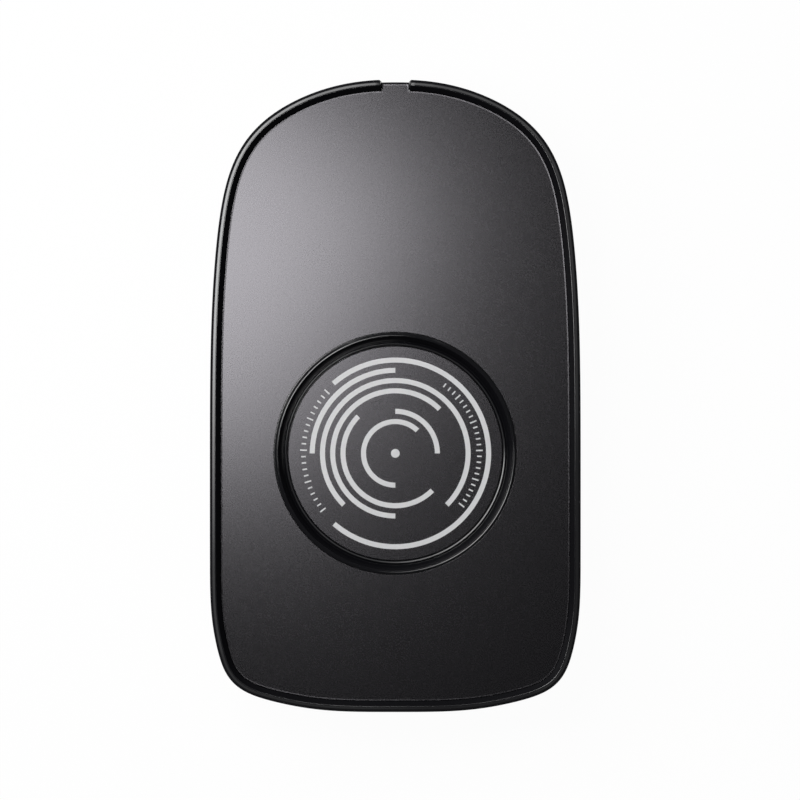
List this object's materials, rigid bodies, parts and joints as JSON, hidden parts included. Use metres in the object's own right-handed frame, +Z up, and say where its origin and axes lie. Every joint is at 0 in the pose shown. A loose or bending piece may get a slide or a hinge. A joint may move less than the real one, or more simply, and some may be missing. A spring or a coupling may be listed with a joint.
{
  "type": "mouse jiggler",
  "caption": "Flat desk tray with a raised rim and a cable notch, in which a computer mouse stands over a slowly turning disc driven by a small worm gear motor.",
  "frame": {"origin": "on the desk, under the middle of the body's length and width", "axes": "+Z up, +Y towards the nose with the cable notch, +X to the right seen from above with the nose ahead"},
  "size_m": [0.0732, 0.125, 0.018],
  "materials": {
    "case_gloss": "gloss black moulding",
    "panel_satin": "satin dark grey, fine texture",
    "bezel_gloss": "polished black",
    "cover_matte": "fine spark texture, black",
    "foot_rubber": "matt black",
    "black_screw": "black oxide",
    "disc_satin": "satin dark grey",
    "ring_ink": "light grey print",
    "gear_plastic": "natural acetal",
    "ground_steel": "ground",
    "bush_bronze": "sintered bronze",
    "worm_brass": "turned",
    "washer_plastic": "natural nylon",
    "spring_steel": "phosphated spring steel",
    "chassis_plastic": "dark grey moulding",
    "rotor_iron": "lacquered laminations and windings",
    "magnet_grey": "sintered ferrite",
    "can_steel": "nickel plated",
    "cap_plastic": "black moulding",
    "terminal_brass": "tinned",
    "zinc_screw": "zinc plated",
    "board_green": "solder resist on glass fibre",
    "chip_black": "moulded package",
    "capacitor_sleeve": "shrunk sleeve",
    "inlet_steel": "nickel plated",
    "slider_plastic": "black moulding",
    "lead_red": "wire insulation",
    "lead_black": "wire insulation"
  },
  "bodies": {
    "base": {"top_casing": "case_gloss", "tray_panel": "panel_satin", "disc_bezel": "bezel_gloss", "bottom_cover": "cover_matte", "rubber_feet": "foot_rubber", "case_screws": "black_screw", "power_inlet_shell": "inlet_steel", "spindle": "ground_steel", "thrust_washer": "washer_plastic", "retaining_clip": "spring_steel", "gearbox_chassis": "chassis_plastic", "axle_pins": "ground_steel", "motor_magnets": "magnet_grey", "motor_can": "can_steel", "motor_end_cap": "cap_plastic", "motor_terminals": "terminal_brass", "motor_clamp": "can_steel", "clamp_screws": "zinc_screw", "chassis_screws": "zinc_screw", "circuit_board": "board_green", "microcontroller": "chip_black", "capacitor": "capacitor_sleeve", "power_inlet_tongue": "cap_plastic", "switch_body": "can_steel", "motor_lead_red": "lead_red", "motor_lead_black": "lead_black", "board_screws": "zinc_screw"},
    "turntable": {"turntable_disc": "disc_satin", "printed_rings": "ring_ink", "turntable_gear": "gear_plastic", "spindle_bush": "bush_bronze"},
    "middle_gear": {"intermediate_gear": "gear_plastic"},
    "first_gear": {"worm_wheel_gear": "gear_plastic"},
    "motor_spindle": {"motor_shaft": "ground_steel", "motor_rotor": "rotor_iron", "worm": "worm_brass"},
    "power_switch": {"switch_slider": "slider_plastic"}
  },
  "joints": [
    {"name": "turntable_spin", "type": "hinge", "parent": "base", "child": "turntable", "pos_m": [0, -0.0114, 0], "axis": [0, 0, 1], "continuous": true},
    {"name": "middle_gear_spin", "type": "hinge", "parent": "base", "child": "middle_gear", "pos_m": [-0.0105, 0.00679, 0], "axis": [0, 0, 1], "continuous": true},
    {"name": "first_gear_spin", "type": "hinge", "parent": "base", "child": "first_gear", "pos_m": [-0.00605, 0.019, 0], "axis": [0, 0, 1], "continuous": true},
    {"name": "motor_spin", "type": "hinge", "parent": "base", "child": "motor_spindle", "pos_m": [0, 0.029, 0.0084], "axis": [1, 0, 0], "continuous": true},
    {"name": "power_switch_slide", "type": "slide", "parent": "base", "child": "power_switch", "axis": [0, 1, 0], "range_m": [0, 0.002]}
  ],
  "couplings": [
    {"joint": "middle_gear_spin", "follows": "turntable_spin", "ratio": -6},
    {"joint": "first_gear_spin", "follows": "turntable_spin", "ratio": 20},
    {"joint": "motor_spin", "follows": "turntable_spin", "ratio": 600}
  ]
}
